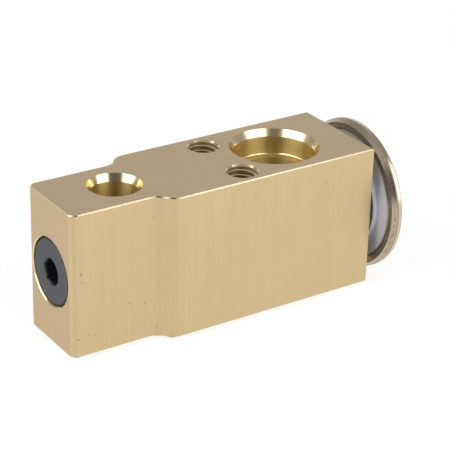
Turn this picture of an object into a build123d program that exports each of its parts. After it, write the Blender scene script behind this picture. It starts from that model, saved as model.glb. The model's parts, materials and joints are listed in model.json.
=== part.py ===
from build123d import *
import os
from math import cos, pi, sin, sqrt

# A block-type thermostatic expansion valve, in millimetres.
# X runs along the valve axis, from the adjusting end to the head. Z runs from the evaporator side to the
# pipe side. The origin lies midway between the fixing holes, on the evaporator side.
# A station is a distance along the valve axis, counted from the face of the adjusting end.

# Clearances
RUNNING = 0.03  # radial, round what slides, turns or screws in
SEATING = 0.02  # where one piece bears on another
END_ROOM = 0.2  # left beyond the end of a travel
PROUD = 1.0  # how far a cutter stands out of the face that it cuts

# Travels
VALVE_LIFT = 0.6
SCREW_IN = 1.0
SCREW_OUT = 0.5

# Block
BLOCK_LENGTH = 68.0
BLOCK_HEIGHT = 30.1
HEAD_END_WIDTH = 23.1
NECK_WIDTH = 17.1
NECK_LENGTH = 17.0
FLARE_LENGTH = 5.5
NECK_CORNER_R = 1.5
EDGE_BREAK = 0.22

# Fixing holes, M6 right through; plain bores of the thread's full radius
FIXING_STATION = 38.9
FIXING_SPACING = 14.06
FIXING_R = 3.0
FIXING_MOUTH_R = 3.35

# Liquid inlet on the pipe side, and outlet on the evaporator side
LIQUID_STATION = 14.2
OUTLET_STATION = 24.8
LIQUID_R = 4.85
LIQUID_MOUTH_R = 5.47
LIQUID_LEAD = 1.55
LIQUID_DEPTH = 8.6
INLET_PASSAGE_R = 2.6
OUTLET_PASSAGE_R = 2.9
OUTLET_CHAMBER_R = 3.2

# Suction passage, with the same socket on both sides
SUCTION_STATION = 51.4
SUCTION_R = 8.32
SUCTION_MOUTH_R = 9.18
SUCTION_LEAD = 1.44
SUCTION_DEPTH = 5.45
SUCTION_FLOOR_FILLET = 0.4
SUCTION_PASSAGE_R = 6.5

# Adjusting screw, M14 x 1
SCREW_THREAD_R = 7.0
SCREW_MOUTH_R = 7.2
SCREW_SINK = 0.2
SCREW_LAND = 5.4
SCREW_EDGE = 0.55
HEX_ACROSS_FLATS = 5.0
HEX_TURN = 10.0
HEX_DEPTH = 4.0
HEX_LEAD = 0.3
SCREW_POCKET_WALL = 2.0
SCREW_SEAL_R = 6.2
SCREW_GROOVE_R = 5.0
SCREW_GROOVE_WIDTH = 1.9
SCREW_LIP = 0.8

# Valve chamber and superheat spring
CHAMBER_R = 5.3
CHAMBER_NOSE = 2.3
SPRING_R = 3.5
SPRING_WIRE_R = 0.6
SPRING_TURNS = 4.5
SPRING_SIDE_ROOM = 0.2

# Orifice insert, ball and ball carrier; the two cones are at 45 degrees
INSERT_R = 3.6
INSERT_LENGTH = 3.0
ORIFICE_R = 1.3
SEAT_MOUTH_R = 2.6
BALL_R = 2.0
CUP_MOUTH_R = 1.9
NOSE_R = 2.6
NOSE_LENGTH = 1.6
CARRIER_R = 4.1
CARRIER_FLANGE = 1.0
BOSS_LENGTH = 2.0

# Damper spring on the ball carrier
DAMPER_SHEET = 0.25
DAMPER_RING_WIDTH = 1.4
DAMPER_LEGS = 6
DAMPER_LEG_WIDTH = 1.2
DAMPER_LEG_LENGTH = 2.4
DAMPER_LEAN = 0.2

# Rods, and the seal between the liquid and the suction side
PUSH_ROD_R = 0.8
PUSH_ROD_SOCKET = 1.0
SENSING_ROD_R = 2.45
ROD_CHAMFER = 0.2
GUIDE_LENGTH = 4.0
ROD_SEAL_R = 3.9
ROD_SEAL_DEPTH = 2.7
BACKUP_RING = 0.4
RETAINER_SHEET = 0.3
RETAINER_TEETH = 8
RETAINER_SLOT_WIDTH = 0.8
RETAINER_SLOT_DEPTH = 0.7
ROD_ROOM_R = 4.0

# Head thread in the block, M18
COLLAR_THREAD_R = 9.0
COLLAR_BORE_R = 7.0
COLLAR_FLANGE_STEP = 1.65
COLLAR_SPIGOT_R = 8.2
COLLAR_EDGE = 0.5
HEAD_FLOOR_WALL = 1.3
COLLAR_END_ROOM = 1.0
HEAD_MOUTH = 1.3
HEAD_SEAL_R = 0.85
HEAD_GAP = 2.7

# Head seat and rim
RIM_R = 16.04
RIM_EDGE = 0.1
RIM_BEVEL_WIDTH = 0.69
SEAT_PLATE = 1.1
RIM_GROOVE_WIDTH = 1.5
RIM_GROOVE_DEPTH = 0.7
RIM_GROOVE_SLOPE = 0.35
BEAD_INSET = 1.64
BEAD_HEIGHT = 0.3
BEAD_WIDTH = 0.5
BEAD_SLOPE = 0.6

# Diaphragm and stop plate
DIAPHRAGM_SHEET = 0.1
DIAPHRAGM_WAVES = 2
DIAPHRAGM_WAVE_FOLDS = 4
DIAPHRAGM_WAVE_HEIGHT = 0.12
STOP_PLATE_BEARING = 0.8
STOP_PLATE_SHEET = 0.8
STOP_HUB_R = 3.4
STOP_HUB_LENGTH = 2.0

# Head cover and charge plug
COVER_SHEET = 1.05
COVER_RIM_ROUND = 0.3
COVER_FLANGE_WIDTH = 0.84
COVER_SLOPE_WIDTH = 2.6
COVER_STEP_HEIGHT = 1.5
COVER_DOME_FOOT_R = 9.8
COVER_DOME_R = 8.4
COVER_DOME_HEIGHT = 1.6
COVER_PIT_R = 3.2
COVER_PIT_SLOPE = 0.9
COVER_PIT_DEPTH = 0.9
COVER_BEND_R = 0.4
CHARGE_HOLE_R = 1.2
CHARGE_HEAD_R = 2.0
CHARGE_HEAD_HEIGHT = 0.6

# Stations and radii worked out from the sizes above, in order along the valve axis
AXIS_HEIGHT = BLOCK_HEIGHT / 2
SCREW_THREAD_END = SCREW_SINK + SCREW_LAND
SCREW_BORE_END = SCREW_THREAD_END + SCREW_IN + END_ROOM
SEAL_BORE_START = SCREW_BORE_END + SCREW_THREAD_R - SCREW_SEAL_R
SCREW_GROOVE_START = SEAL_BORE_START + SCREW_OUT
SCREW_GROOVE_END = SCREW_GROOVE_START + SCREW_GROOVE_WIDTH
SCREW_END = SCREW_GROOVE_END + SCREW_LIP
SEAL_BORE_END = SCREW_END + SCREW_IN + END_ROOM
SCREW_POCKET_FLOOR = SCREW_SINK + HEX_DEPTH + SCREW_POCKET_WALL
CHAMBER_END = LIQUID_STATION + INLET_PASSAGE_R + CHAMBER_NOSE
INSERT_END = CHAMBER_END + INSERT_LENGTH
ORIFICE_START = CHAMBER_END + SEAT_MOUTH_R - ORIFICE_R
CONE_REACH = sqrt(2) * (BALL_R + SEATING)
BALL_STATION = ORIFICE_START + ORIFICE_R - CONE_REACH
NOSE_END = BALL_STATION + CUP_MOUTH_R - CONE_REACH
NOSE_START = NOSE_END - NOSE_LENGTH
SPRING_END = NOSE_START - CARRIER_FLANGE
SPRING_POCKET_R = SPRING_R + SPRING_WIRE_R + SPRING_SIDE_ROOM
BOSS_R = SPRING_R - SPRING_WIRE_R - SPRING_SIDE_ROOM
OUTLET_END = OUTLET_STATION + OUTLET_PASSAGE_R + END_ROOM
ROD_SEAL_FLOOR = SUCTION_STATION - SUCTION_PASSAGE_R - ROD_SEAL_DEPTH
ROD_RING_SECTION_R = (ROD_SEAL_R - SENSING_ROD_R - RUNNING) / 2 - SEATING
BACKUP_START = ROD_SEAL_FLOOR + 2 * (ROD_RING_SECTION_R + SEATING)
RETAINER_START = BACKUP_START + BACKUP_RING + SEATING
GUIDE_START = ROD_SEAL_FLOOR - GUIDE_LENGTH
SENSING_ROD_START = GUIDE_START + VALVE_LIFT + END_ROOM
ROD_GUIDE_R = SENSING_ROD_R + RUNNING
HEAD_BORE_FLOOR = SUCTION_STATION + SUCTION_R + HEAD_FLOOR_WALL
HEAD_MOUTH_START = BLOCK_LENGTH - HEAD_MOUTH
HEAD_MOUTH_R = COLLAR_THREAD_R + HEAD_MOUTH
COLLAR_R = COLLAR_THREAD_R - RUNNING
COLLAR_FLANGE_R = COLLAR_R + COLLAR_FLANGE_STEP
HEAD_SEAL_RING_R = COLLAR_R + SEATING + HEAD_SEAL_R
HEAD_SEAL_STATION = (
    HEAD_MOUTH_START + HEAD_SEAL_RING_R - COLLAR_THREAD_R + sqrt(2) * (HEAD_SEAL_R + SEATING)
)
SEAT_FRONT = BLOCK_LENGTH + HEAD_GAP
SEAT_BACK = SEAT_FRONT + SEAT_PLATE
STOP_PLATE_START = SEAT_BACK + VALVE_LIFT + END_ROOM / 2
STOP_PLATE_END = STOP_PLATE_START + STOP_PLATE_SHEET
COVER_BACK = SEAT_BACK + DIAPHRAGM_SHEET + COVER_SHEET

# Radii worked out from the rim of the head inwards
RIM_BEVEL_R = RIM_R - RIM_BEVEL_WIDTH
RIM_GROOVE_R = RIM_BEVEL_R - RIM_EDGE
SEAT_DISC_R = RIM_GROOVE_R - RIM_GROOVE_WIDTH
BEAD_OUTER_R = RIM_R - BEAD_INSET
BEAD_INNER_R = BEAD_OUTER_R - BEAD_WIDTH
COVER_STEP_R = RIM_R - COVER_FLANGE_WIDTH - COVER_SLOPE_WIDTH
STOP_PLATE_R = COLLAR_SPIGOT_R + STOP_PLATE_BEARING


def on_axis(shape):
    """Moves a shape made along the X axis, with its station 0 at the origin, onto the valve axis."""
    return Pos(-FIXING_STATION, 0, AXIS_HEIGHT) * shape


def turned(*corners, rounding=None):
    """A piece turned about the valve axis, from (station, radius) corners and one bend radius for each."""
    outline = Polyline(*corners, close=True) if rounding is None else FilletPolyline(
        *corners, radius=rounding, close=True
    )
    return on_axis(revolve(make_face(outline), axis=Axis.X))


def ring(station, ring_r, section_r):
    """A round-section ring about the valve axis."""
    return on_axis(Pos(station, 0, 0) * Rot(0, 90, 0) * Torus(ring_r, section_r))


def port(mouth_r, bore_r, lead, depth, floor_fillet=0.0, passage_r=0.0):
    """Cutter for a stepped port, down from a face at height 0 to the valve axis."""
    corners = [(0, PROUD), (mouth_r, PROUD), (mouth_r, 0), (bore_r, -lead), (bore_r, -depth)]
    if passage_r:
        corners += [(passage_r, -depth), (passage_r, -AXIS_HEIGHT)]
    corners.append((0, corners[-1][1]))
    rounding = [floor_fillet if corner == (bore_r, -depth) else 0 for corner in corners]
    outline = Plane.XZ * FilletPolyline(*corners, radius=rounding, close=True)
    return revolve(make_face(outline), axis=Axis.Z)


def on_pipe_side(cutter, station, y=0.0):
    return Pos(station - FIXING_STATION, y, BLOCK_HEIGHT) * cutter


def on_evaporator_side(cutter, station, y=0.0):
    return Pos(station - FIXING_STATION, y, 0) * Rot(180, 0, 0) * cutter


def block_blank():
    """The extruded section: a narrow neck that flares to the head end by an S of two tangent arcs."""
    neck_y, head_y = NECK_WIDTH / 2, HEAD_END_WIDTH / 2
    flare_start = Vector(NECK_LENGTH, neck_y)
    flare_end = Vector(NECK_LENGTH + FLARE_LENGTH, head_y)
    flare_middle = (flare_start + flare_end) / 2
    corner_start = Vector(NECK_CORNER_R, neck_y)
    corner_end = Vector(0, neck_y - NECK_CORNER_R)
    head_corner = Vector(BLOCK_LENGTH, head_y)
    outward = TangentArc(flare_start, flare_middle, tangent=(1, 0))
    back = TangentArc(flare_middle, flare_end, tangent=outward % 1)
    half = (
        Line((0, 0), corner_end)
        + TangentArc(corner_end, corner_start, tangent=(0, 1))
        + Line(corner_start, flare_start)
        + outward
        + back
        + Line(flare_end, head_corner)
        + Line(head_corner, (BLOCK_LENGTH, 0))
        + Line((BLOCK_LENGTH, 0), (0, 0))
    )
    half_face = make_face(half)
    section = half_face + mirror(half_face, about=Plane.XZ)
    blank = Pos(-FIXING_STATION, 0, 0) * extrude(section, BLOCK_HEIGHT)
    outer_edges = blank.faces().sort_by(Axis.Z)[-1].edges() + blank.faces().sort_by(Axis.Z)[0].edges()
    return chamfer(outer_edges, EDGE_BREAK)


def axis_bores():
    """Everything bored along the valve axis, from the adjusting end to the head, as one cutter."""
    rod_bore_r = PUSH_ROD_R + RUNNING
    return turned(
        (-PROUD, 0),
        (-PROUD, SCREW_MOUTH_R),
        (0, SCREW_MOUTH_R),
        (SCREW_MOUTH_R - SCREW_THREAD_R, SCREW_THREAD_R),
        (SCREW_BORE_END, SCREW_THREAD_R),
        (SEAL_BORE_START, SCREW_SEAL_R),
        (SEAL_BORE_END, SCREW_SEAL_R),
        (SEAL_BORE_END, CHAMBER_R),
        (CHAMBER_END, CHAMBER_R),
        (CHAMBER_END, INSERT_R),
        (INSERT_END, INSERT_R),
        (INSERT_END, OUTLET_CHAMBER_R),
        (OUTLET_END, OUTLET_CHAMBER_R),
        (OUTLET_END, rod_bore_r),
        (GUIDE_START, rod_bore_r),
        (GUIDE_START, ROD_GUIDE_R),
        (ROD_SEAL_FLOOR, ROD_GUIDE_R),
        (ROD_SEAL_FLOOR, ROD_SEAL_R),
        (SUCTION_STATION, ROD_SEAL_R),
        (SUCTION_STATION, ROD_ROOM_R),
        (HEAD_BORE_FLOOR, ROD_ROOM_R),
        (HEAD_BORE_FLOOR, COLLAR_THREAD_R),
        (HEAD_MOUTH_START, COLLAR_THREAD_R),
        (BLOCK_LENGTH, HEAD_MOUTH_R),
        (BLOCK_LENGTH + PROUD, HEAD_MOUTH_R),
        (BLOCK_LENGTH + PROUD, 0),
    )


def valve_block():
    inlet = port(LIQUID_MOUTH_R, LIQUID_R, LIQUID_LEAD, LIQUID_DEPTH, passage_r=INLET_PASSAGE_R)
    outlet = port(LIQUID_MOUTH_R, LIQUID_R, LIQUID_LEAD, LIQUID_DEPTH, passage_r=OUTLET_PASSAGE_R)
    suction = port(
        SUCTION_MOUTH_R, SUCTION_R, SUCTION_LEAD, SUCTION_DEPTH, SUCTION_FLOOR_FILLET, SUCTION_PASSAGE_R
    )
    fixing = port(FIXING_MOUTH_R, FIXING_R, FIXING_MOUTH_R - FIXING_R, AXIS_HEIGHT)
    block = block_blank() - axis_bores()
    block -= on_pipe_side(inlet, LIQUID_STATION)
    block -= on_evaporator_side(outlet, OUTLET_STATION)
    for side in (on_pipe_side, on_evaporator_side):
        block -= side(suction, SUCTION_STATION)
        for y in (-FIXING_SPACING / 2, FIXING_SPACING / 2):
            block -= side(fixing, FIXING_STATION, y)
    return block


def adjusting_screw():
    """Black plug screw: hex socket outside, spring pocket inside and a groove for its O-ring."""
    land_r = SCREW_THREAD_R - RUNNING
    seal_r = SCREW_SEAL_R - RUNNING
    body = turned(
        (SCREW_SINK, 0),
        (SCREW_SINK, land_r - SCREW_EDGE),
        (SCREW_SINK + SCREW_EDGE, land_r),
        (SCREW_THREAD_END - SCREW_EDGE, land_r),
        (SCREW_THREAD_END, land_r - SCREW_EDGE),
        (SCREW_THREAD_END, seal_r),
        (SCREW_GROOVE_START, seal_r),
        (SCREW_GROOVE_START, SCREW_GROOVE_R),
        (SCREW_GROOVE_END, SCREW_GROOVE_R),
        (SCREW_GROOVE_END, seal_r),
        (SCREW_END, seal_r),
        (SCREW_END, SPRING_POCKET_R),
        (SCREW_POCKET_FLOOR, SPRING_POCKET_R),
        (SCREW_POCKET_FLOOR, 0),
    )
    hexagon = RegularPolygon(HEX_ACROSS_FLATS / 2, 6, major_radius=False, rotation=HEX_TURN)
    socket = extrude(Plane.YZ.offset(SCREW_SINK) * hexagon, HEX_DEPTH)
    corner_r = HEX_ACROSS_FLATS / sqrt(3)
    drill_r = HEX_ACROSS_FLATS / 2
    lead = turned(
        (SCREW_SINK, 0), (SCREW_SINK, corner_r), (SCREW_SINK + HEX_LEAD, corner_r - HEX_LEAD),
        (SCREW_SINK + HEX_DEPTH, drill_r), (SCREW_SINK + HEX_DEPTH + drill_r / sqrt(3), 0),
    )
    return body - on_axis(socket) - lead


def adjusting_o_ring():
    gap = (SCREW_SEAL_R - SCREW_GROOVE_R) / 2
    middle = (SCREW_GROOVE_START + SCREW_GROOVE_END) / 2
    return ring(middle, SCREW_GROOVE_R + gap, gap - RUNNING)


def superheat_spring():
    """Round-wire coil spring with both ends ground flat."""
    start = SCREW_POCKET_FLOOR + SEATING
    length = SPRING_END - SEATING - start
    pitch = length / SPRING_TURNS
    helix = Helix(pitch, length, SPRING_R)
    wire = Plane(origin=helix @ 0, z_dir=helix % 0) * Circle(SPRING_WIRE_R)
    coil = sweep(wire, path=helix, is_frenet=True)
    ground = Pos(0, 0, length / 2) * Cylinder(SPRING_POCKET_R, length)
    return on_axis(Pos(start, 0, 0) * Rot(0, 90, 0) * (coil & ground))


def ball_carrier():
    """Spring seat with a boss inside the spring and a conical cup for the ball."""
    return turned(
        (SPRING_END - BOSS_LENGTH, 0),
        (SPRING_END - BOSS_LENGTH, BOSS_R - ROD_CHAMFER),
        (SPRING_END - BOSS_LENGTH + ROD_CHAMFER, BOSS_R),
        (SPRING_END, BOSS_R),
        (SPRING_END, CARRIER_R),
        (NOSE_START, CARRIER_R),
        (NOSE_START, NOSE_R),
        (NOSE_END, NOSE_R),
        (NOSE_END, CUP_MOUTH_R),
        (NOSE_END - CUP_MOUTH_R, 0),
    )


def damper_spring():
    """Flat ring on the carrier's nose, with legs bent back along the chamber wall."""
    start = NOSE_START + SEATING
    end = start + DAMPER_SHEET
    ring_r = NOSE_R + SEATING + DAMPER_RING_WIDTH
    tip_r = CHAMBER_R - RUNNING - DAMPER_LEG_WIDTH**2 / (8 * CHAMBER_R)
    flat = turned((start, NOSE_R + SEATING), (start, ring_r), (end, ring_r), (end, NOSE_R + SEATING))
    leg_outline = Polyline(
        (start, ring_r - DAMPER_SHEET),
        (end, ring_r - DAMPER_SHEET),
        (end, tip_r - DAMPER_LEAN),
        (end - DAMPER_LEG_LENGTH, tip_r),
        (end - DAMPER_LEG_LENGTH, tip_r - DAMPER_SHEET),
        (start, tip_r - DAMPER_LEAN - DAMPER_SHEET),
        close=True,
    )
    leg = extrude(make_face(leg_outline), DAMPER_LEG_WIDTH / 2, both=True)
    for turn in range(DAMPER_LEGS):
        flat += on_axis(Rot(360 * turn / DAMPER_LEGS, 0, 0) * leg)
    return flat


def valve_ball():
    return on_axis(Pos(BALL_STATION, 0, 0) * Sphere(BALL_R))


def orifice_insert():
    """Valve seat pressed into the block: a conical seat and the metering orifice."""
    return turned(
        (CHAMBER_END, SEAT_MOUTH_R),
        (CHAMBER_END, INSERT_R),
        (INSERT_END, INSERT_R),
        (INSERT_END, ORIFICE_R),
        (ORIFICE_START, ORIFICE_R),
    )


def push_rod():
    start = BALL_STATION + BALL_R + SEATING
    end = SENSING_ROD_START + PUSH_ROD_SOCKET
    return turned(
        (start, 0),
        (start, PUSH_ROD_R - ROD_CHAMFER),
        (start + ROD_CHAMFER, PUSH_ROD_R),
        (end - ROD_CHAMFER, PUSH_ROD_R),
        (end, PUSH_ROD_R - ROD_CHAMFER),
        (end, 0),
    )


def sensing_rod():
    """Carries the suction gas temperature to the head, and the head's push to the push rod."""
    socket_end = SENSING_ROD_START + PUSH_ROD_SOCKET + SEATING
    socket_r = PUSH_ROD_R + SEATING
    end = STOP_PLATE_START
    return turned(
        (SENSING_ROD_START, socket_r),
        (SENSING_ROD_START, SENSING_ROD_R - ROD_CHAMFER),
        (SENSING_ROD_START + ROD_CHAMFER, SENSING_ROD_R),
        (end - ROD_CHAMFER, SENSING_ROD_R),
        (end, SENSING_ROD_R - ROD_CHAMFER),
        (end, 0),
        (socket_end, 0),
        (socket_end, socket_r),
    )


def rod_o_ring():
    middle_r = (ROD_SEAL_R + SENSING_ROD_R + RUNNING) / 2
    return ring(ROD_SEAL_FLOOR + SEATING + ROD_RING_SECTION_R, middle_r, ROD_RING_SECTION_R)


def flat_washer(start, thickness, inner_r, outer_r):
    end = start + thickness
    return turned((start, inner_r), (start, outer_r), (end, outer_r), (end, inner_r))


def rod_backup_ring():
    return flat_washer(BACKUP_START, BACKUP_RING, ROD_GUIDE_R, ROD_SEAL_R - SEATING)


def rod_retainer():
    """Push-in washer whose teeth grip the wall of the seal's pocket."""
    outer_r = ROD_SEAL_R - SEATING
    washer = flat_washer(RETAINER_START, RETAINER_SHEET, ROD_GUIDE_R + RUNNING, outer_r)
    slot = Box(2 * RETAINER_SHEET, RETAINER_SLOT_DEPTH, RETAINER_SLOT_WIDTH)
    for tooth in range(RETAINER_TEETH):
        place = Rot(360 * tooth / RETAINER_TEETH, 0, 0) * Pos(0, outer_r - RETAINER_SLOT_DEPTH / 2, 0)
        washer -= on_axis(Pos(RETAINER_START + RETAINER_SHEET / 2, 0, 0) * place * slot)
    return washer


def stop_plate():
    """Disc under the diaphragm, with a hub that holds the end of the sensing rod."""
    hub_bore_r = SENSING_ROD_R + SEATING
    hub_start = STOP_PLATE_START - STOP_HUB_LENGTH
    return turned(
        (hub_start, hub_bore_r),
        (hub_start, STOP_HUB_R),
        (STOP_PLATE_START, STOP_HUB_R),
        (STOP_PLATE_START, STOP_PLATE_R),
        (STOP_PLATE_END, STOP_PLATE_R),
        (STOP_PLATE_END, 0),
        (STOP_PLATE_START + SEATING, 0),
        (STOP_PLATE_START + SEATING, hub_bore_r),
    )


def head_collar():
    """Threaded tube that screws into the block; its spigot is welded into the head seat."""
    start = HEAD_BORE_FLOOR + COLLAR_END_ROOM
    flange_start = HEAD_SEAL_STATION + HEAD_SEAL_R + SEATING
    return turned(
        (start, COLLAR_BORE_R),
        (start, COLLAR_R - COLLAR_EDGE),
        (start + COLLAR_EDGE, COLLAR_R),
        (flange_start, COLLAR_R),
        (flange_start, COLLAR_FLANGE_R),
        (SEAT_FRONT - SEATING, COLLAR_FLANGE_R),
        (SEAT_FRONT - SEATING, COLLAR_SPIGOT_R - SEATING),
        (SEAT_BACK, COLLAR_SPIGOT_R - SEATING),
        (SEAT_BACK, COLLAR_BORE_R),
    )


def head_o_ring():
    return ring(HEAD_SEAL_STATION, HEAD_SEAL_RING_R, HEAD_SEAL_R)


def head_seat():
    """Turned disc that faces the block: a bevelled rim, a ring groove inside it and a bead behind that."""
    groove_floor = SEAT_FRONT + RIM_GROOVE_DEPTH
    bead_back = SEAT_BACK + BEAD_HEIGHT
    return turned(
        (SEAT_FRONT, COLLAR_SPIGOT_R),
        (SEAT_FRONT, SEAT_DISC_R),
        (groove_floor, SEAT_DISC_R + RIM_GROOVE_SLOPE),
        (groove_floor, RIM_GROOVE_R - RIM_GROOVE_SLOPE / 2),
        (SEAT_FRONT, RIM_GROOVE_R),
        (SEAT_FRONT, RIM_BEVEL_R),
        (SEAT_BACK - RIM_EDGE, RIM_R),
        (SEAT_BACK, RIM_R - RIM_EDGE),
        (SEAT_BACK, BEAD_OUTER_R + BEAD_SLOPE),
        (bead_back, BEAD_OUTER_R),
        (bead_back, BEAD_INNER_R),
        (SEAT_BACK, BEAD_INNER_R - BEAD_SLOPE),
        (SEAT_BACK, COLLAR_SPIGOT_R),
    )


def diaphragm():
    """Thin disc clamped in the rim: over the bead, then waves that rise to the flat on the stop plate."""
    bead_back = SEAT_BACK + BEAD_HEIGHT
    flat_station = STOP_PLATE_END + SEATING
    steps = DIAPHRAGM_WAVES * DIAPHRAGM_WAVE_FOLDS

    def wave_point(step):
        share = step / steps
        swell = DIAPHRAGM_WAVE_HEIGHT * sin(2 * pi * DIAPHRAGM_WAVES * share)
        station = bead_back + share * (flat_station - bead_back) + swell
        return (station, BEAD_INNER_R + share * (STOP_PLATE_R - BEAD_INNER_R))

    def surface(shift):
        corners = [
            (SEAT_BACK, RIM_R - RIM_EDGE),
            (SEAT_BACK, BEAD_OUTER_R + BEAD_SLOPE),
            (bead_back, BEAD_OUTER_R),
            *(wave_point(step) for step in range(steps + 1)),
            (flat_station, 0),
        ]
        return [(station + shift, radius) for station, radius in corners]

    return turned(*surface(SEATING / 2), *reversed(surface(DIAPHRAGM_SHEET)))


def head_cover():
    """Pressed cover: rim flange, a stepped dome and a pit round the filling hole."""
    outer = [
        (COVER_BACK, RIM_R),
        (COVER_BACK, RIM_R - COVER_FLANGE_WIDTH),
        (COVER_BACK + COVER_STEP_HEIGHT, COVER_STEP_R),
        (COVER_BACK + COVER_STEP_HEIGHT, COVER_DOME_FOOT_R),
        (COVER_BACK + COVER_STEP_HEIGHT + COVER_DOME_HEIGHT, COVER_DOME_R),
        (COVER_BACK + COVER_STEP_HEIGHT + COVER_DOME_HEIGHT, COVER_PIT_R),
        (COVER_BACK + COVER_STEP_HEIGHT + COVER_DOME_HEIGHT - COVER_PIT_DEPTH, COVER_PIT_R - COVER_PIT_SLOPE),
        (COVER_BACK + COVER_STEP_HEIGHT + COVER_DOME_HEIGHT - COVER_PIT_DEPTH, CHARGE_HOLE_R),
    ]
    sheet = COVER_SHEET - SEATING
    inner = [(station - sheet, radius) for station, radius in reversed(outer)]
    bends = [COVER_RIM_ROUND] + [COVER_BEND_R] * (len(outer) - 2) + [0]
    return turned(*outer, *inner, rounding=bends + [0] * len(inner))


def charge_plug():
    """Headed pin that closes the filling hole."""
    pit_back = COVER_BACK + COVER_STEP_HEIGHT + COVER_DOME_HEIGHT - COVER_PIT_DEPTH
    pin_r = CHARGE_HOLE_R - SEATING
    head_start = pit_back + SEATING
    return turned(
        (pit_back - COVER_SHEET, 0),
        (pit_back - COVER_SHEET, pin_r - ROD_CHAMFER),
        (pit_back - COVER_SHEET + ROD_CHAMFER, pin_r),
        (head_start, pin_r),
        (head_start, CHARGE_HEAD_R),
        (head_start + CHARGE_HEAD_HEIGHT / 2, CHARGE_HEAD_R),
        (head_start + CHARGE_HEAD_HEIGHT, CHARGE_HEAD_R - CHARGE_HEAD_HEIGHT),
        (head_start + CHARGE_HEAD_HEIGHT, 0),
    )


PIECES = (
    valve_block,
    adjusting_screw,
    adjusting_o_ring,
    superheat_spring,
    ball_carrier,
    damper_spring,
    valve_ball,
    orifice_insert,
    push_rod,
    sensing_rod,
    rod_o_ring,
    rod_backup_ring,
    rod_retainer,
    stop_plate,
    head_collar,
    head_o_ring,
    head_seat,
    diaphragm,
    head_cover,
    charge_plug,
)

os.makedirs("parts", exist_ok=True)
for piece in PIECES:
    export_step(piece(), f"parts/{piece.__name__}.step")
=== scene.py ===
import json
from math import cos, degrees, pi, radians, sin
from types import SimpleNamespace

import bmesh
import bpy
from mathutils import Matrix, Vector


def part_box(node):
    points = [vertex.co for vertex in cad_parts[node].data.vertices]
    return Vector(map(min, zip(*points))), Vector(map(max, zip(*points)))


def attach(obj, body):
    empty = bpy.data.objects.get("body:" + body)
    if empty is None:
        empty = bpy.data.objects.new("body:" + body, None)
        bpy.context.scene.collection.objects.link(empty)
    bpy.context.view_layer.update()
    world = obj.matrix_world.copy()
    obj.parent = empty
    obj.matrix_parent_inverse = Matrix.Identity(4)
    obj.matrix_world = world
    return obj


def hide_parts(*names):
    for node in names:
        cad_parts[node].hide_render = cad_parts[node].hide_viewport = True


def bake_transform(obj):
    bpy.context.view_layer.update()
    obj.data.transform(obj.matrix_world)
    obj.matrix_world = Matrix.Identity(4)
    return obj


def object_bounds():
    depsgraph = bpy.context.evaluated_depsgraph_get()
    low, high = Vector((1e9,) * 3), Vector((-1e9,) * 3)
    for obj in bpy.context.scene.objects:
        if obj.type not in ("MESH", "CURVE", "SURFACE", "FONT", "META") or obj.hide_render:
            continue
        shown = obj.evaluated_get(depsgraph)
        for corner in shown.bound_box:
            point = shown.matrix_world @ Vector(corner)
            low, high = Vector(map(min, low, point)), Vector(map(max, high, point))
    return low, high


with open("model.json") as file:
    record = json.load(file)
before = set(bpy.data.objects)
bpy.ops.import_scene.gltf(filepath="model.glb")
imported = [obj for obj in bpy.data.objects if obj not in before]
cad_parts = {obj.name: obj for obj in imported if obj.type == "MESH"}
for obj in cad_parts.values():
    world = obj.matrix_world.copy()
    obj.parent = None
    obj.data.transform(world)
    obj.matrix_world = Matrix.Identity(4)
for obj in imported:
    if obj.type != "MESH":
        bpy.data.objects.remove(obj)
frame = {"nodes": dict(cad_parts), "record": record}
cad_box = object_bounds()
nodes = frame["nodes"]
MM = 0.001

# Where things are, in millimetres in the part's frame
BLOCK_LOW, BLOCK_HIGH = [[c / MM for c in corner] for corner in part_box("valve_block")]
ADJUSTING_END_X, HEAD_END_X = BLOCK_LOW[0], BLOCK_HIGH[0]
PIPE_FACE_Z = BLOCK_HIGH[2]
AXIS_Z = PIPE_FACE_Z / 2
MOUNTS = {mount["name"]: mount for mount in frame["record"]["mounts"]}
SUCTION_X = MOUNTS["suction_port_pipe_side"]["pos_m"][0] / MM
LIQUID_X = MOUNTS["liquid_inlet_port"]["pos_m"][0] / MM
OUTLET_X = MOUNTS["liquid_outlet_port"]["pos_m"][0] / MM
FIXING_Y = MOUNTS["fixing_holes_pipe_side"]["dims"]["spacing_y_mm"] / 2
FIXING_R = MOUNTS["fixing_holes_pipe_side"]["dims"]["hole_r_mm"]
MIDDLE_X = (ADJUSTING_END_X + HEAD_END_X) / 2
HALF_LENGTH = (HEAD_END_X - ADJUSTING_END_X) / 2
SCREW_FACE_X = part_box("adjusting_screw")[0][0] / MM
SPRING_LOW_X, SPRING_HIGH_X = (corner[0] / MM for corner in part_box("superheat_spring"))

# The head about the valve axis, from its rim inwards, and how softly one finish ends in the next
RIM_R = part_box("head_seat")[1][1] / MM
BEVEL_WIDTH = 0.79
GROOVE_WIDTH = 1.5
GROOVE_R = RIM_R - BEVEL_WIDTH
DISC_R = GROOVE_R - GROOVE_WIDTH
DISC_SOFT = 0.1
BEVEL_START, BEVEL_FULL = GROOVE_R - 0.02, GROOVE_R + 0.06
WELD_R = RIM_R - 0.3
WELD_HALF_WIDTH = 0.08
WELD_SOFT = 0.1
WELD_TURNS = (-30.0, 10.0, 6.0)  # degrees about the axis between which it is heaviest, and how softly it ends
TINT_START, TINT_FULL = RIM_R - 2.2, RIM_R - 0.6  # radii of the tan tint on the cover

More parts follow.
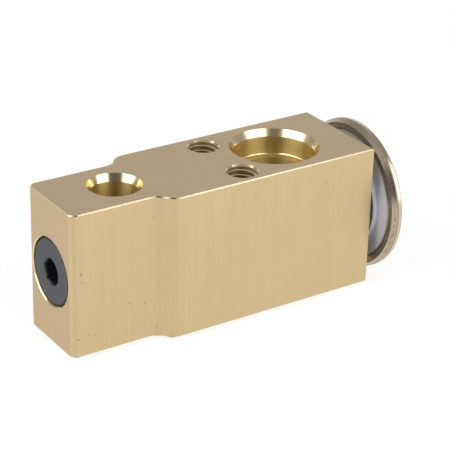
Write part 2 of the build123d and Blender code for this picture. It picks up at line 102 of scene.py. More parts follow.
# Places where the block is bored, each a little wider than its mouth; ports as (x, y, radius)
SUCTION_ZONE_R = 9.3
LIQUID_ZONE_R = 5.6
PORT_ZONES = [
    (SUCTION_X, 0.0, SUCTION_ZONE_R),
    (LIQUID_X, 0.0, LIQUID_ZONE_R),
    (OUTLET_X, 0.0, LIQUID_ZONE_R),
]
TAPPED_ZONE_R = 3.5
AXIS_ZONE_R = 7.6
HEAD_ZONE_R = 10.5
HEAD_BORE_X = 21.0  # between the suction port and the floor of the head's bore
FACE_SKIN = 0.1  # how far below an outer face a surface still belongs to it

# The adjusting screw's socket: a little wider than its corners, and the depths between which painted shade
# darkens it
SOCKET_ZONE_R = 3.0
SOCKET_SOFT = 0.2
SOCKET_SHADE_DEPTHS = (0.05, 0.7)

# Which way a surface leans, told from one part of its normal
SQUARE_LEAN = (0.93, 0.98)  # starts to count as square to that axis, and does so fully
CHAMFER_LEAN = (0.3, 0.85, 0.05)  # lowest, highest and how softly it ends
UPRIGHT_LEAN = 0.2  # a port's wall leans less than this along z
NEAR_SIDE_LEAN = (-0.5, -0.8)  # along y: starts to count as the near side, and does so fully

# Small marks: on the near side as (x, z, half width, half height), and on the pipe side's near edge as
# (x, y, half width, half height); of the edge marks the first is a nick and the other two are painted dark
# reflection where the edge curves
SIDE_NICKS = [
    (-36.9, 17.7, 0.25, 0.5),
    (-36.7, 16.0, 0.2, 0.35),
    (-37.7, 4.0, 0.4, 0.3),
    (-35.3, 4.4, 0.3, 0.2),
    (-26.3, 8.8, 0.35, 0.3),
    (-22.9, 7.9, 0.25, 0.25),
    (-20.9, 6.5, 0.1, 1.1),
    (-20.5, 2.0, 0.1, 1.0),
    (-14.5, 5.8, 0.08, 1.4),
]
EDGE_NICK_AND_DARK_REFLECTIONS = [(-37.7, -8.3, 0.4, 0.6), (-20.2, -9.1, 0.9, 0.8), (-18.0, -10.7, 0.9, 0.8)]


# Camera ------------------------------------------------------------------------------------------

CAMERA_PLACE = Vector((-173.30, -257.18, 165.69)) * MM
CAMERA_YAW, CAMERA_PITCH, CAMERA_ROLL = (radians(a) for a in (34.173, 25.882, 1.582))
FOCAL_PIXELS = 1707.2
IMAGE_PIXELS = 452
SENSOR_MM = 36.0
CLIP_START = 0.01


def make_camera():
    data = bpy.data.cameras.new("photo_camera")
    data.sensor_width = SENSOR_MM
    data.lens = FOCAL_PIXELS / IMAGE_PIXELS * SENSOR_MM
    data.clip_start = CLIP_START
    camera = bpy.data.objects.new("photo_camera", data)
    bpy.context.scene.collection.objects.link(camera)
    turn = (
        Matrix.Rotation(-CAMERA_YAW, 4, "Z")
        @ Matrix.Rotation(pi / 2 - CAMERA_PITCH, 4, "X")
        @ Matrix.Rotation(CAMERA_ROLL, 4, "Z")
    )
    camera.matrix_world = Matrix.Translation(CAMERA_PLACE) @ turn
    bpy.context.scene.camera = camera


# Stage and light ---------------------------------------------------------------------------------

FLOOR_SIZE = 6.0  # metres
FLOOR_GLOW = 0.8  # share of the floor's white that no shadow takes away
FLOOR_LIT = 0.27  # the grey under that glow where the floor is seen, which takes the shadows
PANEL_DISTANCE = 0.9  # metres
PANEL_BRIGHTNESS = 2.6
ROOM_LIGHT = 0.4

# The two sides of the room that differ in reflections; cosines of the angles where each starts and is full
UNLIT_AZIMUTH = -121.0
UNLIT_COSINES = (0.5, 0.85)
UNLIT_LIGHT = 0.12
BACKDROP_AZIMUTH = 56.0
BACKDROP_COSINES = (0.55, 0.97)
BACKDROP_LIGHT = 1.0


def make_floor():
    bpy.ops.mesh.primitive_plane_add(size=FLOOR_SIZE, location=(0, 0, cad_box[0][2]))
    floor = bpy.context.object
    floor.name = "floor"
    graph = Graph("floor_white")
    seen = graph.seen_directly()
    graph.link(graph.mix(seen, FLOOR_WHITE, (FLOOR_LIT,) * 3), "Base Color")
    graph.link(graph.math("MULTIPLY", seen, FLOOR_GLOW), "Emission Strength")
    graph.set(Emission_Color=(1, 1, 1), Roughness=0.9, Specular_IOR_Level=0.0)
    floor.data.materials.append(graph.material)


def make_world():
    """A pale room, white where it is looked at, whose unlit side is the one that the camera stands on."""
    world = bpy.data.worlds.new("studio")
    bpy.context.scene.world = world
    world.use_nodes = True
    graph = Graph.of_tree(world.node_tree)
    background = world.node_tree.nodes["Background"]
    direction = graph.node("TexCoord").outputs["Generated"]

    def towards(azimuth, cosines):
        """0 to 1 as the direction nears an azimuth, between two cosines."""
        product = graph.node("VectorMath", operation="DOT_PRODUCT")
        graph.plug(direction, product.inputs[0])
        graph.plug((cos(radians(azimuth)), sin(radians(azimuth)), 0.0), product.inputs[1])
        return graph.ramp(product.outputs["Value"], *cosines)

    reflected = graph.blend_values(towards(BACKDROP_AZIMUTH, BACKDROP_COSINES), ROOM_LIGHT, BACKDROP_LIGHT)
    reflected = graph.blend_values(towards(UNLIT_AZIMUTH, UNLIT_COSINES), reflected, UNLIT_LIGHT)
    path = graph.node("LightPath").outputs
    mirrored = graph.math("MAXIMUM", path["Is Glossy Ray"], path["Is Transmission Ray"])
    level = graph.blend_values(mirrored, ROOM_LIGHT, reflected)
    level = graph.blend_values(path["Is Camera Ray"], level, 1.0)
    graph.plug(graph.join(level, level, level), background.inputs["Color"])
    background.inputs["Strength"].default_value = 1


def make_panel(name, azimuth, low, high, half_width):
    """A softbox that stands between two elevations, seen from the object; all angles in degrees."""
    middle = radians((low + high) / 2)
    turn = radians(azimuth)
    place = Vector((cos(turn) * cos(middle), sin(turn) * cos(middle), sin(middle))) * PANEL_DISTANCE
    data = bpy.data.lights.new(name, "AREA")
    data.shape = "RECTANGLE"
    data.size = 2 * PANEL_DISTANCE * sin(radians(half_width))
    data.size_y = 2 * PANEL_DISTANCE * sin(radians((high - low) / 2))
    data.energy = PANEL_BRIGHTNESS * pi * data.size * data.size_y
    light = bpy.data.objects.new(name, data)
    bpy.context.scene.collection.objects.link(light)
    light.location = place
    light.rotation_euler = place.to_track_quat("Z", "Y").to_euler()


# Materials ---------------------------------------------------------------------------------------


def srgb(*channels):
    """Linear colour from 0-255 display values."""
    def linear(value):
        share = value / 255
        return share / 12.92 if share <= 0.04045 else ((share + 0.055) / 1.055) ** 2.4
    return tuple(linear(c) for c in channels)


FLOOR_WHITE = srgb(245, 245, 245)
SIDE_GOLD = srgb(203, 182, 140)
MILLED_GOLD = srgb(199, 178, 145)
SAWN_GOLD = srgb(194, 172, 136)
TURNED_GOLD = srgb(224, 195, 130)
TAPPED_GOLD = srgb(168, 142, 96)
MOUTH_GOLD = srgb(228, 209, 168)
EDGE_GOLD = srgb(238, 223, 186)
PORT_GOLD = srgb(212, 189, 124)
WORN_AND_DARK_REFLECTION_BROWN = srgb(104, 86, 58)
BLACK_OXIDE = srgb(57, 58, 61)
SOCKET_SHADE_BLACK = srgb(12, 13, 14)
PLATED_STEEL = srgb(206, 207, 213)
GROOVE_STAIN_AND_SHADE = srgb(160, 146, 132)
BEVEL_TINT = srgb(184, 168, 148)
WELD_BROWN = srgb(98, 76, 60)
COVER_STEEL = srgb(186, 185, 182)
COVER_TAN = srgb(203, 184, 158)
STAINLESS = srgb(190, 190, 190)
ROD_ALLOY = srgb(200, 200, 202)
SPRING_STEEL = srgb(150, 150, 153)
RUBBER_BLACK = srgb(46, 44, 42)
PLASTIC_WHITE = srgb(225, 222, 212)


NOISE_SPAN = (0.25, 0.75)  # the part of a noise texture's values that is spread over -1 to 1
PIT_PEAKS = (0.86, 1.0)  # noise at which a pit starts and is full


class Graph:
    """A Principled material that is built node by node, with places in millimetres."""

    def __init__(self, name):
        self.material = bpy.data.materials.new(name)
        self.material.use_nodes = True
        self.tree = self.material.node_tree
        self.shader = self.tree.nodes["Principled BSDF"]
        self._place = None
        self._normal = None

    @classmethod
    def of_tree(cls, tree):
        graph = cls.__new__(cls)
        graph.tree = tree
        return graph

    def set(self, **values):
        for name, value in values.items():
            socket = self.shader.inputs[name.replace("_", " ")]
            socket.default_value = (*value, 1) if isinstance(value, tuple) and len(value) == 3 else value

    def node(self, kind, **settings):
        made = self.tree.nodes.new("ShaderNode" + kind)
        for name, value in settings.items():
            setattr(made, name, value)
        return made

    def plug(self, value, socket):
        if isinstance(value, bpy.types.NodeSocket):
            self.tree.links.new(value, socket)
        elif isinstance(value, tuple) and len(socket.default_value) > len(value):
            socket.default_value = (*value, 1)
        else:
            socket.default_value = value

    def link(self, value, name):
        self.plug(value, self.shader.inputs[name])

    def place(self):
        """Position on the piece in millimetres, as a vector."""
        if self._place is None:
            scale = self.node("VectorMath", operation="SCALE")
            coordinates = self.node("TexCoord")
            self.plug(coordinates.outputs["Object"], scale.inputs[0])
            scale.inputs["Scale"].default_value = 1 / MM
            self._place = scale.outputs[0]
            self._normal = coordinates.outputs["Normal"]
        return self._place

    def split(self, vector):
        parts = self.node("SeparateXYZ")
        self.plug(vector, parts.inputs[0])
        return parts.outputs[0], parts.outputs[1], parts.outputs[2]

    def join(self, x, y, z):
        parts = self.node("CombineXYZ")
        for value, socket in zip((x, y, z), parts.inputs):
            self.plug(value, socket)
        return parts.outputs[0]

    def facing(self):
        """The surface's own direction, before bump."""
        self.place()
        return self._normal

    def math(self, operation, a, b=0.0, c=0.0, clamp=False):
        made = self.node("Math", operation=operation, use_clamp=clamp)
        for value, socket in zip((a, b, c), made.inputs):
            self.plug(value, socket)
        return made.outputs[0]

    def blend_values(self, factor, a, b):
        """a where factor is 0, b where it is 1."""
        made = self.node("Mix", data_type="FLOAT")
        for value, socket in zip((factor, a, b), (made.inputs[0], made.inputs[2], made.inputs[3])):
            self.plug(value, socket)
        return made.outputs[0]

    def distance(self, a, b):
        """Length of the vector (a, b)."""
        squares = self.math("ADD", self.math("MULTIPLY", a, a), self.math("MULTIPLY", b, b))
        return self.math("SQRT", squares)

    def band(self, value, low, high, soft):
        """1 where value lies between low and high, falling to 0 over soft."""
        rise = self.ramp(value, low - soft, low)
        fall = self.ramp(value, high, high + soft)
        return self.math("SUBTRACT", rise, fall, clamp=True)

    def ramp(self, value, start, end, low=0.0, high=1.0):
        made = self.node("MapRange")
        for item, socket in zip((value, start, end, low, high), made.inputs):
            self.plug(item, socket)
        return made.outputs[0]

    def noise(self, stretch, detail=4.0, roughness=0.6, shift=0.0, at=None):
        """Noise from -1 to 1 with so many features a millimetre along x, y and z, or along those of at."""
        scaled = self.node("VectorMath", operation="MULTIPLY_ADD")
        self.plug(self.place() if at is None else at, scaled.inputs[0])
        scaled.inputs[1].default_value = stretch
        scaled.inputs[2].default_value = (shift, shift, shift)
        made = self.node("TexNoise")
        self.plug(scaled.outputs[0], made.inputs["Vector"])
        made.inputs["Scale"].default_value = 1
        made.inputs["Detail"].default_value = detail
        made.inputs["Roughness"].default_value = roughness
        return self.ramp(made.outputs["Fac"], *NOISE_SPAN, -1, 1)

    def mix(self, factor, a, b, blend="MIX"):
        made = self.node("Mix", data_type="RGBA", blend_type=blend)
        self.plug(factor, made.inputs[0])
        self.plug(a, made.inputs[6])
        self.plug(b, made.inputs[7])
        return made.outputs[2]

    def sum(self, *terms):
        """The sum of (value, weight) terms."""
        total = 0.0
        for value, weight in terms:
            total = self.math("MULTIPLY_ADD", value, weight, total)
        return total

    def most(self, *values):
        largest = values[0]
        for value in values[1:]:
            largest = self.math("MAXIMUM", largest, value)
        return largest

    def without(self, value, *masks):
        """value where none of the masks is 1."""
        for mask in masks:
            value = self.math("MULTIPLY", value, self.math("SUBTRACT", 1.0, mask))
        return value

    def spots(self, u, v, places):
        """1 on small soft-edged ellipses, from (u, v, half width, half height) each."""
        found = []
        for at_u, at_v, half_u, half_v in places:
            across = self.math("DIVIDE", self.math("SUBTRACT", u, at_u), half_u)
            down = self.math("DIVIDE", self.math("SUBTRACT", v, at_v), half_v)
            found.append(self.ramp(self.distance(across, down), 1.0, 0.5))
        return self.most(*found)

    def about_axis(self):
        """Station, radius and turn about the valve axis, the turn in degrees from the near side upwards."""
        x, y, z = self.split(self.place())
        rise = self.math("SUBTRACT", z, AXIS_Z)
        turn = self.math("ARCTAN2", rise, self.math("MULTIPLY", y, -1.0))
        return x, self.distance(y, rise), self.math("MULTIPLY", turn, degrees(1))

    def tone(self, colour, amount):
        """The colour times (1 + amount)."""
        factor = self.math("ADD", amount, 1.0)
        return self.mix(1.0, colour, self.join(factor, factor, factor), "MULTIPLY")

    def bump(self, height, depth_mm):
        """Relief with height from -1 to 1 and the given depth."""
        made = self.node("Bump")
        self.plug(height, made.inputs["Height"])
        made.inputs["Distance"].default_value = depth_mm * MM
        made.inputs["Strength"].default_value = 1
        self.link(made.outputs[0], "Normal")

    def seen_directly(self):
        """1 for what the camera sees, also in metal and through glass."""
        path = self.node("LightPath")
        camera = self.math("MAXIMUM", path.outputs["Is Camera Ray"], path.outputs["Is Glossy Ray"])
        return self.math("MAXIMUM", camera, path.outputs["Is Transmission Ray"])


def block_zones(g, place, normal):
    """Masks over the block, each 1 on its own kind of surface, with the leans that other steps need."""
    x, y, z = place
    lean_x, lean_z = g.math("ABSOLUTE", normal[0]), g.math("ABSOLUTE", normal[2])
    up, endwise = g.ramp(lean_z, *SQUARE_LEAN), g.ramp(lean_x, *SQUARE_LEAN)
    tilted_up, tilted_end = (g.band(lean, *CHAMFER_LEAN) for lean in (lean_z, lean_x))

    def near(centre_x, centre_y, radius):
        away = g.distance(g.math("SUBTRACT", x, centre_x), g.math("SUBTRACT", y, centre_y))
        return g.math("LESS_THAN", away, radius)

    def beyond(value, middle, limit):
        return g.math("GREATER_THAN", g.math("ABSOLUTE", g.math("SUBTRACT", value, middle)), limit)

    sockets = g.most(*(near(*port) for port in PORT_ZONES))
    tapped = g.most(near(0.0, FIXING_Y, TAPPED_ZONE_R), near(0.0, -FIXING_Y, TAPPED_ZONE_R))
    ports = g.most(sockets, tapped)
    axis_r = g.distance(y, g.math("SUBTRACT", z, AXIS_Z))
    at_head = g.math("GREATER_THAN", x, HEAD_BORE_X)
    axial = g.most(
        g.math("LESS_THAN", axis_r, AXIS_ZONE_R),
        g.math("MULTIPLY", at_head, g.math("LESS_THAN", axis_r, HEAD_ZONE_R)),
    )
    bored = g.most(ports, axial)
    milled = g.math("MULTIPLY", up, beyond(z, AXIS_Z, AXIS_Z - FACE_SKIN))
    sawn = g.math("MULTIPLY", endwise, beyond(x, MIDDLE_X, HALF_LENGTH - FACE_SKIN))
    inner = g.without(bored, milled, sawn)
    chamfers = g.most(g.math("MULTIPLY", ports, tilted_up), g.math("MULTIPLY", axial, tilted_end))
    mouth = g.math("MULTIPLY", inner, chamfers)
    edge = g.without(tilted_up, bored)
    return SimpleNamespace(
        up=up,
        lean_x=lean_x,
        tapped=tapped,
        milled=milled,
        sawn=sawn,
        inner=inner,
        mouth=mouth,
        walls=g.without(inner, mouth),
        edge=edge,
        side=g.without(1.0, milled, sawn, inner, edge),
    )


def block_material():
    """Pale gold coated alloy: drawn sides, milled faces, turned bores and bright port mouths."""
    g = Graph("gold_coated_alloy")
    place, normal = g.split(g.place()), g.split(g.facing())
    zone = block_zones(g, place, normal)
    x, y, z = place

    drawn = g.noise((5.0, 5.0, 0.06), detail=4.0, roughness=0.7)
    bands = g.noise((1.1, 0.8, 0.015), detail=3.0, shift=7.0)
    broad = g.noise((0.22, 0.22, 0.01), detail=2.0, shift=13.0)
    cloud = g.noise((0.12, 0.12, 0.12), detail=4.0, shift=3.0)
    grain = g.noise((6.0, 6.0, 6.0), detail=3.0, shift=5.0)
    cuts = g.noise((0.4, 9.0, 9.0), detail=3.0, shift=2.0)
    along_bores = g.join(0.0, 0.0, g.math("ADD", z, x))
    rings = g.noise((0.0, 0.0, 4.0), detail=3.0, roughness=0.7, at=along_bores)
    dashes = g.noise((1.6, 1.6, 0.3), detail=3.0, roughness=0.8, shift=11.0)
    pits = g.ramp(g.noise((1.3, 1.3, 0.8), detail=1.0, shift=17.0), *PIT_PEAKS)
    nicks = g.math("MULTIPLY", g.spots(x, z, SIDE_NICKS), g.ramp(normal[1], *NEAR_SIDE_LEAN))
    # Besides a nick, these edge marks are two spots of painted dark reflection; with the pits and nicks they
    # share one brown.
    nick_and_dark_reflections = g.spots(x, y, EDGE_NICK_AND_DARK_REFLECTIONS)
    wear_and_dark_reflection = g.most(
        g.math("MULTIPLY", pits, g.math("MULTIPLY", zone.side, 0.16)),
        g.math("MULTIPLY", nicks, 0.4),
        g.math("MULTIPLY", nick_and_dark_reflections, zone.edge),
    )

    # Painted shade: flat faces inside the bores, such as the port floors, are a fifth darker.
    turned = g.mix(
        g.math("MULTIPLY", zone.tapped, zone.walls),
        g.tone(TURNED_GOLD, g.sum((rings, 0.08), (zone.up, -0.2))),
        g.tone(TAPPED_GOLD, g.math("MULTIPLY", grain, 0.15)),
    )
    coats = (
        (zone.milled, g.tone(MILLED_GOLD, g.sum((cloud, 0.03), (grain, 0.045)))),
        (zone.sawn, g.tone(SAWN_GOLD, g.sum((drawn, 0.02), (cuts, 0.02), (cloud, 0.02)))),
        (zone.inner, turned),
        (zone.mouth, MOUTH_GOLD),
        (zone.edge, g.tone(EDGE_GOLD, g.math("MULTIPLY", dashes, 0.16))),
        (wear_and_dark_reflection, WORN_AND_DARK_REFLECTION_BROWN),
    )
    colour = g.tone(SIDE_GOLD, g.sum((drawn, 0.03), (bands, 0.022), (broad, 0.02), (cloud, 0.02)))
    for mask, coat in coats:
        colour = g.mix(mask, colour, coat)
    g.link(colour, "Base Color")

    rough = g.sum(
        (zone.side, 0.42),
        (zone.milled, 0.5),
        (zone.sawn, 0.46),
        (zone.inner, 0.45),
        (zone.edge, 0.27),
        (g.math("MULTIPLY", zone.edge, zone.lean_x), 0.2),
        (zone.mouth, -0.25),
    )
    g.link(g.sum((rough, 1.0), (drawn, 0.02), (grain, 0.015), (wear_and_dark_reflection, 0.2)), "Roughness")
    g.link(g.sum((zone.inner, -0.2), (zone.mouth, 0.2), (wear_and_dark_reflection, -0.4), (1.0, 1.0)), "Metallic")
    height = g.sum(
        (g.math("MULTIPLY", drawn, zone.side), 0.5),
        (g.math("MULTIPLY", grain, zone.milled), 0.5),
        (g.math("MULTIPLY", cuts, zone.sawn), 0.4),
        (g.math("MULTIPLY", rings, zone.walls), 2.0),
        (wear_and_dark_reflection, -1.5),
    )
    g.bump(height, depth_mm=0.004)
    return g.material


def bore_material():
    """Port walls with fine tool rings, which draw reflections out along the port."""
    g = Graph("turned_alloy")
    x, y, z = g.split(g.place())
    rings = g.noise((0.0, 0.0, 4.0), detail=3.0, roughness=0.7, at=g.join(0.0, 0.0, z))
    cloud = g.noise((0.3, 0.3, 0.3), detail=3.0, shift=3.0)
    g.link(g.tone(PORT_GOLD, g.sum((rings, 0.07), (cloud, 0.04))), "Base Color")
    g.link(g.sum((rings, 0.04), (1.0, 0.38)), "Roughness")
    g.set(Metallic=0.92, Anisotropic=0.9)
    g.link(g.join(0.0, 0.0, 1.0), "Tangent")
    g.bump(rings, depth_mm=0.006)
    return g.material


def dress_port_walls(material):
    """Gives the upright walls of the ports their own material."""
    mesh = nodes["valve_block"].data
    mesh.materials.append(material)
    for face in mesh.polygons:
        upright = abs(face.normal.z) < UPRIGHT_LEAN
        x, y = face.center.x / MM, face.center.y / MM
        if upright and any((x - at_x) ** 2 + (y - at_y) ** 2 < r**2 for at_x, at_y, r in PORT_ZONES):
            face.material_index = 1


def screw_material():
    """Black oxide, satin, with painted shade that darkens its socket with depth."""
    g = Graph("black_oxide")
    x, radius = g.about_axis()[:2]
    grain = g.noise((7.0, 7.0, 7.0), detail=3.0)
    rings = g.noise((6.0, 6.0, 0.0), detail=3.0, at=g.join(x, radius, 0.0))
    depth = g.math("SUBTRACT", x, SCREW_FACE_X)
    colour = g.tone(BLACK_OXIDE, g.sum((grain, 0.07), (rings, 0.06)))
    within = g.ramp(radius, SOCKET_ZONE_R, SOCKET_ZONE_R - SOCKET_SOFT)
    # Painted shade: the socket's colour turns near black with depth.
    socket = g.math("MULTIPLY", within, g.ramp(depth, *SOCKET_SHADE_DEPTHS))
    g.link(g.mix(socket, colour, SOCKET_SHADE_BLACK), "Base Color")
    g.link(g.sum((grain, 0.05), (socket, 0.2), (1.0, 0.45)), "Roughness")
    g.set(Specular_IOR_Level=0.3)
    g.bump(g.sum((rings, 0.6), (grain, 0.4)), depth_mm=0.003)
    return g.material


def seat_material():
    """Plated steel disc, stained brown and darkened by painted shade in its groove, heat tinted on the bevel,
    with specks of weld.
    """
    g = Graph("plated_steel")
    x, radius, turn = g.about_axis()
    disc = g.ramp(radius, DISC_R + DISC_SOFT, DISC_R - DISC_SOFT)
    bevel = g.ramp(radius, BEVEL_START, BEVEL_FULL)
    arc = g.math("MULTIPLY", turn, RIM_R * radians(1))
    rings = g.noise((5.0, 5.0, 0.04), detail=4.0, at=g.join(x, radius, arc))
    cloud = g.noise((0.16, 0.16, 0.16), detail=4.0, shift=4.0)
    grain = g.noise((7.0, 7.0, 7.0), detail=3.0, shift=9.0)
    blotch = g.noise((1.8, 1.8, 1.8), detail=3.0, roughness=0.7, shift=21.0)
    plated = g.tone(PLATED_STEEL, g.sum((cloud, 0.09), (grain, 0.03), (rings, 0.02)))
    # The groove's brown is a stain, and its darkness is painted shade.
    stained_and_shaded = g.tone(GROOVE_STAIN_AND_SHADE, g.sum((cloud, 0.15), (blotch, 0.1), (rings, 0.05)))
    tinted = g.tone(BEVEL_TINT, g.sum((rings, 0.16), (blotch, 0.06), (cloud, 0.06)))
    colour = g.mix(bevel, g.mix(disc, stained_and_shaded, plated), tinted)
    weld_line = g.band(radius, WELD_R - WELD_HALF_WIDTH, WELD_R + WELD_HALF_WIDTH, WELD_SOFT)
    stretch = g.band(turn, *WELD_TURNS)
    specks = g.math("MULTIPLY", g.ramp(blotch, -0.1, 0.5), g.math("MULTIPLY", weld_line, stretch))
    faint = g.math("MULTIPLY", g.ramp(blotch, 0.2, 0.9), g.math("MULTIPLY", weld_line, 0.45))
    weld = g.most(specks, faint)
    g.link(g.mix(g.math("MULTIPLY", weld, 0.75), colour, WELD_BROWN), "Base Color")
    g.link(g.sum((disc, 0.2), (weld, 0.15), (grain, 0.03), (rings, 0.05), (1.0, 0.26)), "Roughness")
    g.link(g.sum((disc, -0.5), (weld, -0.3), (bevel, 0.4), (1.0, 0.6)), "Metallic")
    g.bump(g.sum((rings, 1.2), (grain, 0.3), (weld, 1.0)), depth_mm=0.005)
    return g.material


def cover_material():
    """Pressed steel whose rim is tinted tan by the weld."""
    g = Graph("tinted_steel")
    x, radius, turn = g.about_axis()
    arc = g.math("MULTIPLY", turn, RIM_R * radians(1))
    rings = g.noise((6.0, 6.0, 0.05), detail=4.0, at=g.join(x, radius, arc))
    cloud = g.noise((0.3, 0.3, 0.3), detail=4.0, shift=4.0)
    grain = g.noise((8.0, 8.0, 8.0), detail=3.0, shift=9.0)
    tint = g.ramp(g.sum((radius, 1.0), (cloud, 0.3)), TINT_START, TINT_FULL)
    bare = g.tone(COVER_STEEL, g.sum((cloud, 0.05), (grain, 0.02), (rings, 0.02)))
    tan = g.tone(COVER_TAN, g.sum((rings, 0.12), (cloud, 0.08)))
    g.link(g.mix(tint, bare, tan), "Base Color")
    g.link(g.sum((grain, 0.03), (rings, 0.04), (1.0, 0.2)), "Roughness")
    g.set(Metallic=1.0)
    g.bump(g.sum((rings, 0.6), (grain, 0.3)), depth_mm=0.003)
    return g.material


def turned_metal(name, colour, roughness):
    """Bare metal with tool rings about the valve axis."""
    g = Graph(name)
    x, radius = g.about_axis()[:2]
    rings = g.noise((8.0, 8.0, 0.0), detail=3.0, at=g.join(x, radius, 0.0))
    grain = g.noise((9.0, 9.0, 9.0), detail=3.0)
    cloud = g.noise((0.3, 0.3, 0.3), detail=3.0, shift=5.0)
    g.link(g.tone(colour, g.sum((cloud, 0.05), (rings, 0.04))), "Base Color")
    g.link(g.sum((grain, 0.04), (rings, 0.03), (1.0, roughness)), "Roughness")
    g.set(Metallic=1.0)
    g.bump(g.sum((rings, 0.7), (grain, 0.3)), depth_mm=0.002)
    return g.material


def spring_material():
    """Drawn wire and sheet."""
    g = Graph("spring_steel")
    grain = g.noise((9.0, 9.0, 9.0), detail=3.0)
    cloud = g.noise((0.6, 0.6, 0.6), detail=3.0, shift=5.0)
    g.link(g.tone(SPRING_STEEL, g.sum((cloud, 0.08), (grain, 0.03))), "Base Color")
    g.link(g.sum((grain, 0.05), (1.0, 0.34)), "Roughness")
    g.set(Metallic=1.0)
    g.bump(grain, depth_mm=0.002)
    return g.material


def seal_material(name, colour, roughness):
    """Moulded rubber or plastic."""
    g = Graph(name)
    grain = g.noise((6.0, 6.0, 6.0), detail=3.0)
    cloud = g.noise((0.8, 0.8, 0.8), detail=2.0, shift=5.0)
    g.link(g.tone(colour, g.sum((grain, 0.06), (cloud, 0.08))), "Base Color")
    g.link(g.sum((grain, 0.05), (1.0, roughness)), "Roughness")
    g.bump(grain, depth_mm=0.004)
    return g.material


# Threads and springs -----------------------------------------------------------------------------

THREAD_PITCH = 1.0
THREAD_DEPTH = 0.45
THREAD_CREST = 0.125  # half the width of the ridge's top
THREAD_FOOT = 0.44  # half the width of its foot
THREAD_ROOT = 0.05  # how far the foot lies inside the wall
THREAD_THINNEST = 0.08  # share of the full ridge that is left at its ends
THREAD_RUN_IN = 0.3
THREAD_STEPS = 40  # a turn
WIRE_R = 0.6
WIRE_SIDES = 14
COIL_R = 3.5
COIL_TURNS = 4.5
COIL_STEPS = 36  # a turn
SHARP_ANGLE = 30.0


def sweep(name, sections, material, body):
    """A closed solid through a row of like sections, each a loop of points in millimetres."""
    mesh = bmesh.new()
    loops = [[mesh.verts.new(Vector(point) * MM) for point in section] for section in sections]
    for low, high in zip(loops, loops[1:]):
        for i in range(len(low)):
            j = (i + 1) % len(low)
            mesh.faces.new((low[i], low[j], high[j], high[i]))
    mesh.faces.new(reversed(loops[0]))
    mesh.faces.new(loops[-1])
    bmesh.ops.recalc_face_normals(mesh, faces=mesh.faces)
    return place_mesh(name, mesh, material, body)


def place_mesh(name, mesh, material, body):
    data = bpy.data.meshes.new(name)
    mesh.to_mesh(data)
    mesh.free()
    data.materials.append(material)
    piece = bpy.data.objects.new(name, data)
    bpy.context.scene.collection.objects.link(piece)
    if body:
        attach(piece, body)
    return piece


def thread(name, centre_y, material):
    """The ridge of an M6 thread on the wall of a fixing hole, thinning out at both ends."""
    low, high = THREAD_RUN_IN + THREAD_FOOT, PIPE_FACE_Z - THREAD_RUN_IN - THREAD_FOOT
    steps = round((high - low) / THREAD_PITCH * THREAD_STEPS)
    foot_r = FIXING_R + THREAD_ROOT
    sections = []
    for step in range(steps + 1):
        turn = 2 * pi * step / THREAD_STEPS
        height = low + THREAD_PITCH * step / THREAD_STEPS
        share = max(THREAD_THINNEST, min(1.0, step / THREAD_STEPS, (steps - step) / THREAD_STEPS))
        crest_r = FIXING_R - THREAD_DEPTH * share
        crest = THREAD_CREST * share
        foot = THREAD_CREST + (THREAD_FOOT - THREAD_CREST) * share
        profile = [(foot_r, -foot), (crest_r, -crest), (crest_r, crest), (foot_r, foot)]
        sections.append(
            [(r * cos(turn), centre_y + r * sin(turn), height + rise) for r, rise in profile]
        )
    return sweep(name, sections, material, "block")


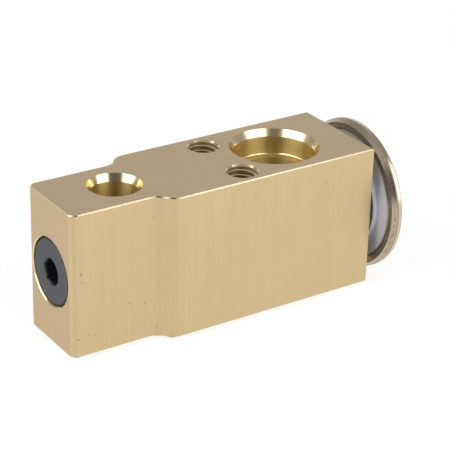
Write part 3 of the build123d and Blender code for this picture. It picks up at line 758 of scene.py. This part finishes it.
def half_spring(name, first, last, material):
    """The coil between two shares of its length, flat at the spring's ends."""
    length = SPRING_HIGH_X - SPRING_LOW_X
    pitch = length / COIL_TURNS
    steps = round(COIL_TURNS * (last - first) * COIL_STEPS)
    sections = []
    for step in range(steps + 1):
        share = first + (last - first) * step / steps
        turn = 2 * pi * COIL_TURNS * share
        out = Vector((0, sin(turn), -cos(turn)))
        centre = Vector((SPRING_LOW_X + length * share, 0, AXIS_Z)) + out * COIL_R
        ahead = Vector((pitch, 2 * pi * COIL_R * cos(turn), 2 * pi * COIL_R * sin(turn))).normalized()
        across = ahead.cross(out)
        sections.append(
            [
                centre + WIRE_R * (out * cos(a) + across * sin(a))
                for a in (2 * pi * side / WIRE_SIDES for side in range(WIRE_SIDES))
            ]
        )
    piece = sweep(name, sections, material, None)
    mesh = bmesh.new()
    mesh.from_mesh(piece.data)
    for cut_x, outwards in ((SPRING_LOW_X, -1), (SPRING_HIGH_X, 1)):
        everything = mesh.verts[:] + mesh.edges[:] + mesh.faces[:]
        bmesh.ops.bisect_plane(
            mesh, geom=everything, plane_co=(cut_x * MM, 0, 0), plane_no=(outwards, 0, 0), clear_outer=True
        )
        rim = [edge for edge in mesh.edges if edge.is_boundary]
        if rim:
            bmesh.ops.holes_fill(mesh, edges=rim)
    bmesh.ops.recalc_face_normals(mesh, faces=mesh.faces)
    mesh.to_mesh(piece.data)
    mesh.free()
    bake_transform(piece)
    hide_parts("superheat_spring")
    return piece


def smooth(piece):
    for face in piece.data.polygons:
        face.use_smooth = True
    piece.data.set_sharp_from_angle(angle=radians(SHARP_ANGLE))


def dress(material, *names):
    for name in names:
        mesh = nodes[name].data
        mesh.materials.clear()
        mesh.materials.append(material)


make_camera()
make_world()
make_floor()
make_panel("right_softbox", azimuth=-69, low=-2, high=57, half_width=26)
make_panel("left_softbox", azimuth=-184, low=-2, high=57, half_width=30)

gold = block_material()
wire = spring_material()
dress(gold, "valve_block")
dress_port_walls(bore_material())
dress(screw_material(), "adjusting_screw")
dress(seat_material(), "head_seat", "head_collar")
dress(cover_material(), "head_cover")
dress(
    turned_metal("stainless", STAINLESS, 0.28),
    "ball_carrier", "valve_ball", "orifice_insert", "push_rod", "stop_plate", "diaphragm", "charge_plug",
)
dress(wire, "superheat_spring", "damper_spring", "rod_retainer")
dress(turned_metal("rod_alloy", ROD_ALLOY, 0.3), "sensing_rod")
dress(seal_material("seal_rubber", RUBBER_BLACK, 0.6), "adjusting_o_ring", "rod_o_ring", "head_o_ring")
dress(seal_material("seal_plastic", PLASTIC_WHITE, 0.5), "rod_backup_ring")

for side, centre_y in (("near", -FIXING_Y), ("far", FIXING_Y)):
    ridge = thread(f"thread_{side}", centre_y, gold)
    smooth(ridge)
for piece in (
    half_spring("spring_screw_half", 0.0, 0.5, wire),
    half_spring("spring_valve_half", 0.5, 1.0, wire),
):
    smooth(piece)

bpy.context.scene.view_settings.view_transform = "Standard"
